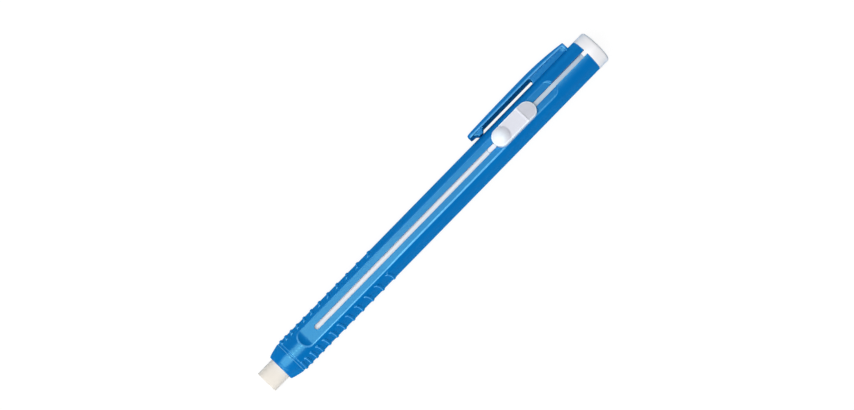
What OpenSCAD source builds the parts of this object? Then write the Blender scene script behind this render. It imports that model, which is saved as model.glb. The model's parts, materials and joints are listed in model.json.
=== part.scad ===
// Slide-out eraser stick: a round barrel with a ribbed grip, a thumb slider in a long slot, a pocket clip
// and an end cap. The origin is the middle of the eraser's working face. +X runs along the stick to its
// end cap, and +Z is up, with the stick lying on its barrel and on the lower edge of its clip.

/* [Barrel] */
// Outside diameter of the barrel
barrel_d = 10.5; // [10.4:0.1:12]
// Length of the barrel from its nose to the end cap
barrel_len = 122.3; // [115:0.1:150]
// Diameter of the nose at its front face
nose_d = 8.6; // [8.2:0.1:9.4]
// Length of the tapered nose
nose_len = 3.86; // [2:0.01:6]
// Radius of the nose's front edge
nose_edge_r = 0.45; // [0.1:0.05:0.5]
// Width of the ring groove behind the nose
groove_w = 0.92; // [0.5:0.01:1.5]
// Depth of the ring groove
groove_depth = 0.12; // [0.05:0.01:0.3]
// Length of the narrow bore that guides the eraser in the nose
nose_bore_len = 12; // [6:0.5:12.5]

/* [Grip] */
// Length of the ribbed grip
grip_len = 35.7; // [30:0.1:50]
// How far the grip lies below the barrel's surface
grip_sink = 0.03; // [0.02:0.01:0.15]
// Number of ribs
rib_count = 12; // [6:1:14]
// Distance from the grip's front edge to the first rib
rib_first = 0.48; // [0.45:0.01:1.5]
// Gap between the first two ribs, which widens towards the tail
rib_gap = 1.93; // [1.3:0.01:2.1]
// Width of a rib
rib_w = 1.15; // [0.6:0.05:1.2]
// Height of a rib above the grip
rib_rise = 0.27; // [0.1:0.01:0.5]
// Angle from the slot to the ends of the ribs
rib_end_angle = 46; // [44:1:80]

/* [Recess and slot] */
// Width of the flat recess that the thumb button runs on
recess_w = 5.66; // [5.5:0.01:5.9]
// Distance from the nose to the flat of the recess
recess_front = 11; // [8:0.1:13]
// Distance from the flat of the recess to the end cap
recess_back = 15.2; // [14:0.1:17]
// Length of the curved run-out at each end of the recess
recess_runout = 2.4; // [1.5:0.1:4]
// Width of the slot
slot_w = 1.5; // [1.2:0.05:1.8]
// Distance from the nose to the slot's front end
slot_front = 14.25; // [13:0.05:25]

/* [Pocket clip] */
// Length of the clip
clip_len = 37.3; // [30:0.1:45]
// Width of the clip
clip_w = 5.2; // [4.5:0.1:6]
// Gap between the clip and the barrel
clip_gap = 1.65; // [1:0.05:2.5]
// Thickness of the clip at its tip
clip_tip_t = 0.95; // [0.7:0.05:1.2]
// Thickness of the clip where it is highest
clip_crest_t = 1.3; // [1.2:0.05:1.8]
// Thickness of the clip at its back end
clip_end_t = 0.6; // [0.5:0.05:0.9]
// Distance from the clip's highest point to its back end
clip_crest_back = 15; // [14:0.1:18]
// How far the clip's outside falls from its highest point to its back end
clip_drop = 1.2; // [0.8:0.05:1.4]
// Distance from the clip's back end to the end cap
clip_back = 2.4; // [1:0.1:5]
// Length of the web that joins the clip to the barrel
web_len = 13.4; // [10:0.1:13.9]
// Width of the web and of the foot
web_w = 3.6; // [2.5:0.1:4.4]
// Thickness of the wall that closes the clip's back end
clip_wall_t = 0.9; // [0.6:0.05:1.5]
// Radius of the rounded corners at the clip's tip, seen from outside
tip_corner_r = 1.3; // [0.6:0.1:2]
// Distance from the clip's tip to the foot
foot_front = 1.5; // [1:0.1:4]
// Length of the foot where it leaves the clip
foot_base = 3.2; // [2.4:0.1:5]
// Length of the foot's flat end
foot_end = 1.4; // [0.8:0.1:2]

/* [End cap] */
// Length of the end cap that shows
cap_len = 3.8; // [3.4:0.1:8]
// Radius of the end cap's rim
cap_edge_r = 0.8; // [0.3:0.05:1]
// Thickness of the end cap's side wall
cap_wall = 0.6; // [0.5:0.05:0.65]
// Length of the barrel's neck inside the end cap
neck_len = 2.7; // [1.5:0.1:2.8]
// How far the end cap's tongue reaches into the slot
tongue_len = 1.3; // [0.8:0.1:3]

/* [Thumb slider] */
// Length of the thumb button
button_len = 15.65; // [14:0.05:17]
// Width of the thumb button
button_w = 5.35; // [4.5:0.05:5.5]
// Height of the button's thumb panel above the barrel's surface
button_rise = 1.95; // [1.2:0.05:3]
// Height of the dome above the thumb panel
dome_rise = 0.8; // [0.3:0.05:1.2]
// Height of the cross bar above the thumb panel
bar_rise = 0.25; // [0.1:0.05:0.6]
// Width of the cross bar
bar_w = 0.9; // [0.5:0.05:1.5]
// Distance from the cross bar to the button's back end
bar_back = 4.1; // [3:0.1:5]
// How far the pad behind the bar slopes down
pad_drop = 0.8; // [0.2:0.05:1.2]
// Length of the stem that shows in the slot in front of the button
key_front = 2.8; // [1:0.1:5]
// Length of the eraser carriage, as far as the end of its rail
carriage_len = 36.7; // [30:0.1:45]
// How far the carriage's sleeve reaches behind its rail
sleeve_back = 1.8; // [0.5:0.1:2.5]
// How far the carriage can still move back at rest
retract_play = 1.1; // [0.5:0.1:3]
// Depth of the socket that grips the eraser
socket_depth = 6.2; // [5:0.1:8]
// Wall thickness of the carriage
carriage_wall = 0.4; // [0.3:0.05:0.42]
// Width of the slits in the socket
slit_w = 0.5; // [0.3:0.05:1]
// Radius of the pegs that hold the button on the carriage
peg_r = 0.5; // [0.3:0.05:0.6]
// Length of the pegs
peg_len = 1; // [0.5:0.1:2]
// Distance from each end of the carriage's solid block to a peg
peg_inset = 2.5; // [1:0.1:4]
// Height of the flat that the stem stands on, above the carriage's outside
seat_rise = 0.1; // [0.05:0.01:0.15]

/* [Eraser] */
// Diameter of the eraser
eraser_d = 6.8; // [6:0.1:6.9]
// How far the eraser stands out of the nose
eraser_out = 5.6; // [1:0.1:20]
// Width of the bevel on the eraser's edges
eraser_bevel = 0.12; // [0.05:0.01:0.4]

/* [Fits] */
// Clearance round the eraser inside its socket
socket_fit = 0.05; // [0.02:0.01:0.1]
// Clearance round the eraser in the nose
nose_fit = 0.1; // [0.05:0.01:0.2]
// Clearance round the carriage in the bore
slide_fit = 0.1; // [0.05:0.01:0.12]
// Clearance on each side of the stem and the rail in the slot
slot_fit = 0.1; // [0.05:0.01:0.2]
// Clearance under the button and over the rail
float_fit = 0.15; // [0.1:0.01:0.3]
// Clearance round the barrel's neck in the end cap, and round the pegs
press_fit = 0.02; // [0.01:0.01:0.05]
// Clearance between the clip's foot and the barrel
foot_fit = 0.15; // [0.1:0.01:0.4]
// Clearance round the clip's bending line
bend_fit = 0.04; // [0.02:0.01:0.08]
// Clearance past the ends of the barrel's neck, the pegs and the rail
end_fit = 0.1; // [0.05:0.01:0.2]

/* [Hidden] */
$fn = 96;

barrel_r = barrel_d / 2;
eraser_r = eraser_d / 2;
carriage_r = eraser_r + socket_fit + carriage_wall;
bore_r = carriage_r + slide_fit;
nose_bore_r = eraser_r + nose_fit;
floor_z = sqrt(barrel_r * barrel_r - recess_w * recess_w / 4);
runout_r = (pow(recess_runout, 2) + pow(barrel_r - floor_z, 2)) / (2 * (barrel_r - floor_z));
cut = 1;
join = 0.1;

nose_x = eraser_out;
groove_x = nose_x + nose_len;
grip_x = groove_x + groove_w;
body_x = grip_x + grip_len;
tail_x = nose_x + barrel_len;
grip_r = barrel_r - grip_sink;
groove_r = barrel_r - groove_depth;
neck_r = barrel_r - cap_wall - press_fit;
bore_x = nose_x + nose_bore_len;

rib_steps = rib_count - 1;
rib_span = grip_len - rib_first - rib_w / 2 + join;
rib_widen = 2 * (rib_span - rib_steps * rib_gap) / (rib_steps * (rib_steps - 1));
function rib_x(i) = grip_x + rib_first + i * rib_gap + rib_widen * i * (i - 1) / 2;

clip_end_x = tail_x - clip_back;
clip_tip_x = clip_end_x - clip_len;
clip_in_y = barrel_r + clip_gap;
clip_top_y = clip_in_y + clip_crest_t;
crest_x = clip_end_x - clip_crest_back;
web_x = clip_end_x - web_len;
knuckle_r = (clip_crest_t - bend_fit) / 2;
knuckle_y = clip_in_y + knuckle_r;
root_y = bore_r + 4 * join;
rest_roll = asin(barrel_r / norm([clip_top_y, clip_w / 2])) - atan2(clip_w / 2, clip_top_y);

tongue_x = tail_x - tongue_len;
carriage_end_x = tongue_x - retract_play;
carriage_x = carriage_end_x - carriage_len;
socket_x = carriage_x + socket_depth;
button_x = carriage_x + key_front;
button_end_x = button_x + button_len;
seat_z = carriage_r + seat_rise;
button_z = floor_z + float_fit;
panel_z = barrel_r + button_rise;
dome_r = button_w / 2;
dome_ball_r = (dome_r * dome_r + dome_rise * dome_rise) / (2 * dome_rise);
bar_x = button_end_x - bar_back - bar_w;
block_end_x = button_end_x - 1;
sleeve_end_x = carriage_end_x + sleeve_back;
peg_xs = [socket_x + peg_inset, block_end_x - peg_inset];
eraser_end_x = socket_x - press_fit;

function arc(cx, cy, r, a0, a1, n) =
    [for (i = [0:n]) [cx + r * cos(a0 + (a1 - a0) * i / n), cy + r * sin(a0 + (a1 - a0) * i / n)]];

// The clip's outside is two arcs that meet level at its highest point
function bow_r(run, fall) = (run * run + fall * fall) / (2 * fall);
tip_bow_r = bow_r(crest_x - clip_tip_x, clip_crest_t - clip_tip_t);
end_bow_r = bow_r(clip_crest_back, clip_drop);
function clip_out_y(x) = let (r = x < crest_x ? tip_bow_r : end_bow_r)
    clip_top_y - r + sqrt(r * r - pow(x - crest_x, 2));

// Turns the stick from slot up, clip sideways, to the way it lies
module at_rest() {
    rotate([-rest_roll, 0, 0]) children();
}

// A solid of revolution about the stick's axis, from a profile of [radius, x] points
module turned() {
    rotate([0, 90, 0]) rotate_extrude() children();
}

module bar_along_x(r, x0, x1) {
    translate([x0, 0, 0]) rotate([0, 90, 0]) cylinder(h = x1 - x0, r = r);
}

module stadium(x0, x1, w) {
    translate([x0 + w / 2, -w / 2]) square([x1 - x0 - w, w]);
    for (x = [x0 + w / 2, x1 - w / 2]) translate([x, 0]) circle(d = w);
}

module barrel_outside() {
    turned() polygon(concat(
        [[0, nose_x]],
        arc(nose_d / 2 - nose_edge_r, nose_x + nose_edge_r, nose_edge_r, -90, 0, 4),
        [[barrel_r - grip_sink, groove_x], [groove_r, groove_x], [groove_r, grip_x], [grip_r, grip_x],
         [grip_r, body_x], [barrel_r, body_x], [barrel_r, tail_x], [neck_r, tail_x],
         [neck_r, tail_x + neck_len], [0, tail_x + neck_len]]));
}

// Ribs run round the back of the grip and stop short of the slot's side
module grip_ribs() {
    crest_w = 0.4 * rib_w;
    root = -0.3;
    rotate([0, 90, 0]) rotate([0, 0, rib_end_angle - 180]) rotate_extrude(angle = 360 - 2 * rib_end_angle)
        for (i = [0:rib_steps]) translate([grip_r, rib_x(i)])
            polygon([[root, -rib_w / 2], [0, -rib_w / 2], [rib_rise, -crest_w / 2],
                     [rib_rise, crest_w / 2], [0, rib_w / 2], [root, rib_w / 2]]);
}

// Web, back wall and rear flange of the clip, as far as the line where it bends
module clip_root() {
    wall_x = clip_end_x - clip_wall_t;
    corner_r = clip_end_t * 0.8;
    bow_end_x = clip_end_x - 2 * corner_r;
    end_y = clip_out_y(clip_end_x);
    difference() {
        linear_extrude(height = clip_w, center = true) polygon(concat(
            [[web_x, clip_in_y], [wall_x, end_y - clip_end_t], [wall_x, root_y], [clip_end_x, root_y]],
            arc(clip_end_x - corner_r, end_y - corner_r, corner_r, 0, 80, 3),
            [for (i = [0:8]) let (x = bow_end_x + (web_x - bow_end_x) * i / 8) [x, clip_out_y(x)]]));
        translate([web_x, knuckle_y, 0])
            cylinder(h = clip_w + cut, r = knuckle_r + bend_fit, center = true);
    }
    linear_extrude(height = web_w, center = true) polygon([
        [web_x, root_y], [wall_x + join, root_y], [wall_x + join, end_y - clip_end_t],
        [web_x + 2 * knuckle_r, clip_in_y + 2 * join], [web_x + knuckle_r, clip_in_y - join],
        [web_x, clip_in_y - join]]);
}

// Bore for the eraser and its carriage
module bore_cut() {
    bar_along_x(nose_bore_r, nose_x - cut, bore_x + cut);
    bar_along_x(bore_r, bore_x, tail_x + neck_len + cut);
}

module recess_cut() {
    flat_x = nose_x + recess_front;
    flat_end_x = tail_x - recess_back;
    w = recess_w + cut;
    translate([flat_x, -w / 2, floor_z]) cube([flat_end_x - flat_x, w, barrel_r]);
    for (x = [flat_x, flat_end_x]) translate([x, 0, floor_z + runout_r])
        rotate([90, 0, 0]) cylinder(h = w, r = runout_r, center = true);
}

module slot_cut() {
    x = nose_x + slot_front + slot_w / 2;
    translate([x, 0, 0]) cylinder(h = 2 * barrel_r, d = slot_w);
    translate([x, -slot_w / 2, 0]) cube([tail_x + neck_len + cut - x, slot_w, 2 * barrel_r]);
}

module barrel() {
    color([0.04, 0.44, 0.72]) at_rest() difference() {
        union() {
            barrel_outside();
            grip_ribs();
            clip_root();
        }
        bore_cut();
        recess_cut();
        slot_cut();
    }
}

// Free length of the clip, with round corners at the tip and a foot that almost meets the barrel
module clip_arm() {
    edge_r = clip_tip_t * 0.42;
    corner_y = clip_w / 2 - tip_corner_r;
    bow_tip_x = clip_tip_x + 2 * edge_r;
    tip_y = clip_in_y + clip_tip_t;
    foot_x = clip_tip_x + foot_front;
    taper = (foot_base - foot_end) / 2;
    color([0.04, 0.44, 0.72]) at_rest() {
        intersection() {
            union() {
                linear_extrude(height = clip_w, center = true) polygon(concat(
                    arc(clip_tip_x + edge_r, tip_y - edge_r, edge_r, 90, 180, 3),
                    arc(clip_tip_x + edge_r, clip_in_y + edge_r, edge_r, 180, 270, 3),
                    [[web_x, clip_in_y], [web_x, clip_in_y + 2 * knuckle_r]],
                    [for (i = [1:8]) let (x = web_x + (bow_tip_x - web_x) * i / 8) [x, clip_out_y(x)]]));
                translate([web_x, knuckle_y, 0]) cylinder(h = clip_w, r = knuckle_r, center = true);
            }
            rotate([-90, 0, 0]) linear_extrude(height = clip_top_y + cut) {
                translate([clip_tip_x + tip_corner_r, -clip_w / 2]) square([clip_len, clip_w]);
                translate([clip_tip_x, -corner_y]) square([clip_len, 2 * corner_y]);
                for (y = [-corner_y, corner_y]) translate([clip_tip_x + tip_corner_r, y])
                    circle(r = tip_corner_r);
            }
        }
        linear_extrude(height = web_w, center = true) polygon([
            [foot_x, clip_in_y + join], [foot_x, clip_in_y], [foot_x + taper, barrel_r + foot_fit],
            [foot_x + taper + foot_end, barrel_r + foot_fit], [foot_x + foot_base, clip_in_y],
            [foot_x + foot_base, clip_in_y + join]]);
    }
}

// Cup over the barrel's neck, with a tongue that closes the slot's open end
module end_cap() {
    end_x = tail_x + cap_len;
    floor_x = tail_x + neck_len + end_fit;
    tongue_w = slot_w - 2 * slot_fit;
    tongue_z = bore_r + slot_fit / 2;
    color([0.93, 0.94, 0.96]) at_rest() {
        difference() {
            turned() polygon(concat(
                [[0, tail_x], [barrel_r, tail_x]],
                arc(barrel_r - cap_edge_r, end_x - cap_edge_r, cap_edge_r, 0, 90, 6),
                [[0, end_x]]));
            bar_along_x(neck_r + press_fit, tail_x - cut, floor_x);
        }
        intersection() {
            translate([tongue_x, -tongue_w / 2, tongue_z]) cube([tongue_len + cut, tongue_w, barrel_r]);
            bar_along_x(barrel_r, tongue_x - cut, tail_x);
        }
        translate([tail_x - join, -tongue_w / 2, tongue_z])
            cube([floor_x - tail_x + 2 * join, tongue_w, neck_r + join - tongue_z]);
    }
}

// Thumb button with its dome, panel, cross bar and sloping pad, and the stem that runs in the slot
module thumb_button() {
    stem_w = slot_w - 2 * slot_fit;
    dome_x = button_x + dome_r;
    color([0.96, 0.97, 0.97]) at_rest() {
        intersection() {
            translate([0, 0, button_z]) linear_extrude(height = 2 * barrel_r)
                stadium(button_x, button_end_x, button_w);
            union() {
                rotate([90, 0, 0]) linear_extrude(height = button_w + cut, center = true) polygon([
                    [button_x, button_z], [button_end_x, button_z], [button_end_x, panel_z - pad_drop],
                    [bar_x + bar_w, panel_z], [bar_x + bar_w, panel_z + bar_rise],
                    [bar_x, panel_z + bar_rise], [bar_x, panel_z], [button_x, panel_z]]);
                difference() {
                    translate([dome_x, 0, panel_z + dome_rise - dome_ball_r]) sphere(r = dome_ball_r);
                    translate([dome_x, 0, panel_z - join - 2 * dome_ball_r])
                        cylinder(h = 2 * dome_ball_r, r = 2 * dome_ball_r);
                }
            }
        }
        translate([0, 0, seat_z]) linear_extrude(height = floor_z - seat_z)
            stadium(carriage_x, button_end_x, stem_w);
        translate([0, 0, seat_z]) linear_extrude(height = button_z - seat_z + join)
            stadium(button_x + stem_w / 2, button_end_x - stem_w / 2, stem_w);
        for (x = peg_xs) translate([x, 0, seat_z - peg_len]) cylinder(h = peg_len + join, r = peg_r);
    }
}

// Sleeve that slides in the bore: slit socket for the eraser, solid block for the pegs, hollow back, rail
module eraser_carriage() {
    rail_w = slot_w - 2 * slot_fit;
    color([0.80, 0.85, 0.90]) at_rest() difference() {
        union() {
            bar_along_x(carriage_r, carriage_x, sleeve_end_x);
            translate([carriage_x + rail_w / 2, -rail_w / 2, 0])
                cube([button_end_x - carriage_x, rail_w, seat_z]);
            translate([button_end_x + end_fit, -rail_w / 2, 0])
                cube([carriage_end_x - button_end_x - end_fit, rail_w, floor_z - float_fit]);
        }
        bar_along_x(eraser_r + socket_fit, carriage_x - cut, socket_x);
        bar_along_x(carriage_r - 2 * carriage_wall, block_end_x, sleeve_end_x + cut);
        for (turn = [-60, 0, 60]) rotate([turn, 0, 0])
            translate([carriage_x - cut, -slit_w / 2, -barrel_r])
                cube([socket_depth - 1 + cut, slit_w, barrel_r]);
        for (x = peg_xs) translate([x, 0, seat_z - peg_len - end_fit])
            cylinder(h = peg_len + cut, r = peg_r + press_fit);
    }
}

module eraser_stick() {
    color([0.94, 0.93, 0.90]) at_rest() turned() polygon([
        [0, 0], [eraser_r - eraser_bevel, 0], [eraser_r, eraser_bevel],
        [eraser_r, eraser_end_x - eraser_bevel], [eraser_r - eraser_bevel, eraser_end_x], [0, eraser_end_x]]);
}

barrel();
clip_arm();
end_cap();
thumb_button();
eraser_carriage();
eraser_stick();
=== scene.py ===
import bmesh
import bpy
import json
import math
from mathutils import Matrix, Vector
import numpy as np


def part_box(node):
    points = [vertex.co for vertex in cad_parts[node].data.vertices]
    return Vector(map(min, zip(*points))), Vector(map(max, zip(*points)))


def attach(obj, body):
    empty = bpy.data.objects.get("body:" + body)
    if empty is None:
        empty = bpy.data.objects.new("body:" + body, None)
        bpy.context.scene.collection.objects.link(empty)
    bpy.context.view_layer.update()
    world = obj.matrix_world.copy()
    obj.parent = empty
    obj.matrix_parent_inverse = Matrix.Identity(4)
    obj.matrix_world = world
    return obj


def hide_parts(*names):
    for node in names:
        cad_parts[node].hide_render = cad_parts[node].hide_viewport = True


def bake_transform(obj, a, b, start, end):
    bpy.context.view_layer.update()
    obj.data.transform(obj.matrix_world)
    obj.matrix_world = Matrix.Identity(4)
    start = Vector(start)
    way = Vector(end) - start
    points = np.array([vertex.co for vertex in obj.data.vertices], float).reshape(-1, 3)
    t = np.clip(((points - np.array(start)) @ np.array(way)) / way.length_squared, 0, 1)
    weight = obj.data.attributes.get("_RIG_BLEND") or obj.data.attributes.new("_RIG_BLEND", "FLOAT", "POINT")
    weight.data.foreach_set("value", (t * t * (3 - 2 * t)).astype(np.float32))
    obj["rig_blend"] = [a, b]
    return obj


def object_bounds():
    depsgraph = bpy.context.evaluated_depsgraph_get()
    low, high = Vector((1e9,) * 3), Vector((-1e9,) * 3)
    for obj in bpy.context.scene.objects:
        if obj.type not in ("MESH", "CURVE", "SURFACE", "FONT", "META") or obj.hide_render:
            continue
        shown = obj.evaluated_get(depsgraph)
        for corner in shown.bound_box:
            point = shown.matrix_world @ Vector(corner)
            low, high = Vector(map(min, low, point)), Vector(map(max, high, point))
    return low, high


# A slide-out eraser stick. Every piece is modelled with the slot up and the clip towards +Y,
# then turned about the barrel's axis to the way the stick lies.
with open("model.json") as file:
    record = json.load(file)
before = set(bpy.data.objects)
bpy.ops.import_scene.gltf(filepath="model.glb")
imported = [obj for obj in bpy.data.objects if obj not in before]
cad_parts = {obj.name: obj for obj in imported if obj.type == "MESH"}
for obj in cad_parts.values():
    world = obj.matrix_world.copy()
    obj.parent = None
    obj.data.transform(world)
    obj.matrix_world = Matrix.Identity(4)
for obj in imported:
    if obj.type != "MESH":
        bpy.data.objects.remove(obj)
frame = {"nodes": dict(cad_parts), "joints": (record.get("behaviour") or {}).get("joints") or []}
cadBox = [list(corner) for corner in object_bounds()]
mm = 0.001
tiny = 1e-6

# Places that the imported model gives
clipHinge = next(joint for joint in frame["joints"] if joint["name"] == "clip_flex")
layAngle = -math.atan2(-clipHinge["axis"][1], -clipHinge["axis"][2])
layTurn = Matrix.Rotation(layAngle, 4, "X")
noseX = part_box("barrel")[0].x
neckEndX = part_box("barrel")[1].x
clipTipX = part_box("clip_arm")[0].x
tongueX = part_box("end_cap")[0].x
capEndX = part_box("end_cap")[1].x
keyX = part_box("thumb_button")[0].x
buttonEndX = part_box("thumb_button")[1].x
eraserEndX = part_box("eraser_stick")[1].x
print("frame loaded:", len(frame["nodes"]), "nodes, lying turn", round(math.degrees(layAngle), 2))


def smoothStep(start, end, value):
    part = min(max((value - start) / (end - start), 0), 1)
    return part * part * (3 - 2 * part)


def softMin(a, b, blendWidth):
    # the smaller of two heights, with a small round where they meet
    part = min(max(0.5 + 0.5 * (b - a) / blendWidth, 0), 1)
    return b + (a - b) * part - blendWidth * part * (1 - part)


def bowRadius(run, fall):
    # radius of an arc that falls by this much over this run
    return (run * run + fall * fall) / (2 * fall)


def spread(start, end, step):
    # evenly spaced places from start up to but not at end
    count = max(1, math.ceil((end - start) / step - tiny))
    return [start + (end - start) * k / count for k in range(count)]


def quarterRound(radius, count):
    # (inset, drop) pairs of a quarter round, from the flat face to the side
    return [(radius * (1 - math.cos(math.radians(90 * k / count))),
             radius * (1 - math.sin(math.radians(90 * k / count)))) for k in range(count + 1)]


# Bends of an edge, in radians per metre, where the painted edge highlight starts and where it is full
highlightBend = {"start": 350, "full": 900, "leastAngle": 0.03}


def edgeBend(edge):
    # how tightly the surface bends outwards at an edge, in radians per metre
    angle = edge.calc_face_angle_signed(0) if edge.is_manifold else 0
    if angle < highlightBend["leastAngle"]:
        return 0
    middle = (edge.verts[0].co + edge.verts[1].co) / 2
    return angle / (2 * min((face.calc_center_median() - middle).length for face in edge.link_faces))


def markHighlightEdges(bm, share):
    # an attribute that tells the materials where to paint highlights on outward bent edges
    layers = bm.verts.layers.float
    edgeTag = layers.get("edgeWear") or layers.new("edgeWear")
    bm.normal_update()
    for vert in bm.verts:
        part = share(vert)
        if part > 0:
            bend = max(edgeBend(edge) for edge in vert.link_edges)
            highlightShareOrTipTone = part * smoothStep(highlightBend["start"], highlightBend["full"], bend)
            vert[edgeTag] = max(vert[edgeTag], highlightShareOrTipTone)


def onlyKind(items, kind):
    return [item for item in items if isinstance(item, kind)]


def drawFaces(bm, faces):
    # the faces extruded and the old ones taken away: the new faces and their vertices
    drawn = bmesh.ops.extrude_face_region(bm, geom=faces)["geom"]
    bmesh.ops.delete(bm, geom=faces, context="FACES_ONLY")
    return onlyKind(drawn, bmesh.types.BMFace), onlyKind(drawn, bmesh.types.BMVert)


def bendsOver(edge, degrees):
    return edge.calc_face_angle(0) > math.radians(degrees)


def roundEdges(bm, edges, radius, segments, clamp=True):
    bmesh.ops.bevel(bm, geom=edges, offset=radius, segments=segments, profile=0.5, affect="EDGES",
                    material=-1, clamp_overlap=clamp)


def makePiece(bm, name, body, material, sharpAngle, edgeShare=None):
    bmesh.ops.delete(bm, geom=[edge for edge in bm.edges if not edge.link_faces], context="EDGES")
    bmesh.ops.remove_doubles(bm, verts=bm.verts, dist=tiny)
    bmesh.ops.recalc_face_normals(bm, faces=bm.faces)
    if edgeShare:
        markHighlightEdges(bm, edgeShare)
    bmesh.ops.transform(bm, matrix=layTurn, verts=bm.verts)
    mesh = bpy.data.meshes.new(name)
    bm.to_mesh(mesh)
    bm.free()
    mesh.shade_smooth()
    mesh.set_sharp_from_angle(angle=math.radians(sharpAngle))
    mesh.materials.append(material)
    piece = bpy.data.objects.new(name, mesh)
    bpy.context.scene.collection.objects.link(piece)
    if body:
        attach(piece, body)
    print("made", name, "with", len(mesh.polygons), "faces")
    return piece


# Node helpers
def addNode(tree, kind, place=(0, 0), **settings):
    made = tree.nodes.new(kind)
    made.location = place
    for key, value in settings.items():
        setattr(made, key, value)
    return made


def setInputs(made, **values):
    for key, value in values.items():
        made.inputs[key.replace("_", " ")].default_value = value


def startGroup(name, inputs, outputs):
    group = bpy.data.node_groups.new(name, "ShaderNodeTree")
    for label, kind, value in inputs:
        socket = group.interface.new_socket(name=label, in_out="INPUT", socket_type=kind)
        socket.default_value = value
    for label, kind in outputs:
        group.interface.new_socket(name=label, in_out="OUTPUT", socket_type=kind)
    inside = addNode(group, "NodeGroupInput", (-900, 0))
    outside = addNode(group, "NodeGroupOutput", (700, 0))
    return group, inside, outside


def makeMouldGrain():
    # the faint orange peel and fine tooth of a moulded surface, as a height
    group, inside, outside = startGroup(
        "mouldGrain",
        [("Place", "NodeSocketVector", (0, 0, 0)), ("Peel Size", "NodeSocketFloat", 900),
         ("Tooth Size", "NodeSocketFloat", 9000), ("Tooth Share", "NodeSocketFloat", 0.3)],
        [("Height", "NodeSocketFloat")])
    link = group.links.new
    peel = addNode(group, "ShaderNodeTexNoise", (-500, 150))
    setInputs(peel, Detail=2.0, Roughness=0.45)
    tooth = addNode(group, "ShaderNodeTexNoise", (-500, -150))
    setInputs(tooth, Detail=3.0, Roughness=0.6)
    mix = addNode(group, "ShaderNodeMix", (0, 0))
    link(inside.outputs["Place"], peel.inputs["Vector"])
    link(inside.outputs["Peel Size"], peel.inputs["Scale"])
    link(inside.outputs["Place"], tooth.inputs["Vector"])
    link(inside.outputs["Tooth Size"], tooth.inputs["Scale"])
    link(inside.outputs["Tooth Share"], mix.inputs[0])
    link(peel.outputs["Fac"], mix.inputs[2])
    link(tooth.outputs["Fac"], mix.inputs[3])
    link(mix.outputs[0], outside.inputs["Height"])
    return group


def makeToneDrift():
    # slow change of colour through the plastic, with flow lines drawn out along the stick
    group, inside, outside = startGroup(
        "toneDrift",
        [("Place", "NodeSocketVector", (0, 0, 0)), ("Light Tone", "NodeSocketColor", (1, 1, 1, 1)),
         ("Deep Tone", "NodeSocketColor", (0, 0, 0, 1))],
        [("Color", "NodeSocketColor")])
    link = group.links.new
    stretch = addNode(group, "ShaderNodeMapping", (-700, 0))
    stretch.inputs["Scale"].default_value = (0.25, 1, 1)
    flow = addNode(group, "ShaderNodeTexNoise", (-450, 0))
    setInputs(flow, Scale=260.0, Detail=4.0, Roughness=0.55, Distortion=0.4)
    spreadOut = addNode(group, "ShaderNodeMapRange", (-200, 0))
    setInputs(spreadOut, From_Min=0.3, From_Max=0.7)
    mix = addNode(group, "ShaderNodeMix", (300, 0), data_type="RGBA")
    link(inside.outputs["Place"], stretch.inputs["Vector"])
    link(stretch.outputs["Vector"], flow.inputs["Vector"])
    link(flow.outputs["Fac"], spreadOut.inputs["Value"])
    link(spreadOut.outputs["Result"], mix.inputs[0])
    link(inside.outputs["Light Tone"], mix.inputs[6])
    link(inside.outputs["Deep Tone"], mix.inputs[7])
    link(mix.outputs[2], outside.inputs["Color"])
    return group


def makeHandMarks():
    # hairline scuffs along the stick and soft smudges, as one mask
    group, inside, outside = startGroup(
        "handMarks",
        [("Place", "NodeSocketVector", (0, 0, 0)), ("Amount", "NodeSocketFloat", 0.5)],
        [("Mask", "NodeSocketFloat")])
    link = group.links.new
    turn = addNode(group, "ShaderNodeMapping", (-700, 150))
    turn.inputs["Rotation"].default_value = (0, 0.05, 0.12)
    turn.inputs["Scale"].default_value = (0.06, 1, 1)
    hairs = addNode(group, "ShaderNodeTexNoise", (-450, 150))
    setInputs(hairs, Scale=5200.0, Detail=2.0, Roughness=0.5)
    sparse = addNode(group, "ShaderNodeMapRange", (-200, 150))
    setInputs(sparse, From_Min=0.66, From_Max=0.76)
    smudge = addNode(group, "ShaderNodeTexNoise", (-450, -150))
    setInputs(smudge, Scale=140.0, Detail=3.0, Roughness=0.5)
    patches = addNode(group, "ShaderNodeMapRange", (-200, -150))
    setInputs(patches, From_Min=0.45, From_Max=0.75, To_Max=0.5)
    both = addNode(group, "ShaderNodeMath", (50, 0), operation="MAXIMUM")
    amount = addNode(group, "ShaderNodeMath", (300, 0), operation="MULTIPLY")
    link(inside.outputs["Place"], turn.inputs["Vector"])
    link(turn.outputs["Vector"], hairs.inputs["Vector"])
    link(hairs.outputs["Fac"], sparse.inputs["Value"])
    link(inside.outputs["Place"], smudge.inputs["Vector"])
    link(smudge.outputs["Fac"], patches.inputs["Value"])
    link(sparse.outputs["Result"], both.inputs[0])
    link(patches.outputs["Result"], both.inputs[1])
    link(both.outputs[0], amount.inputs[0])
    link(inside.outputs["Amount"], amount.inputs[1])
    link(amount.outputs[0], outside.inputs["Mask"])
    return group


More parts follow.
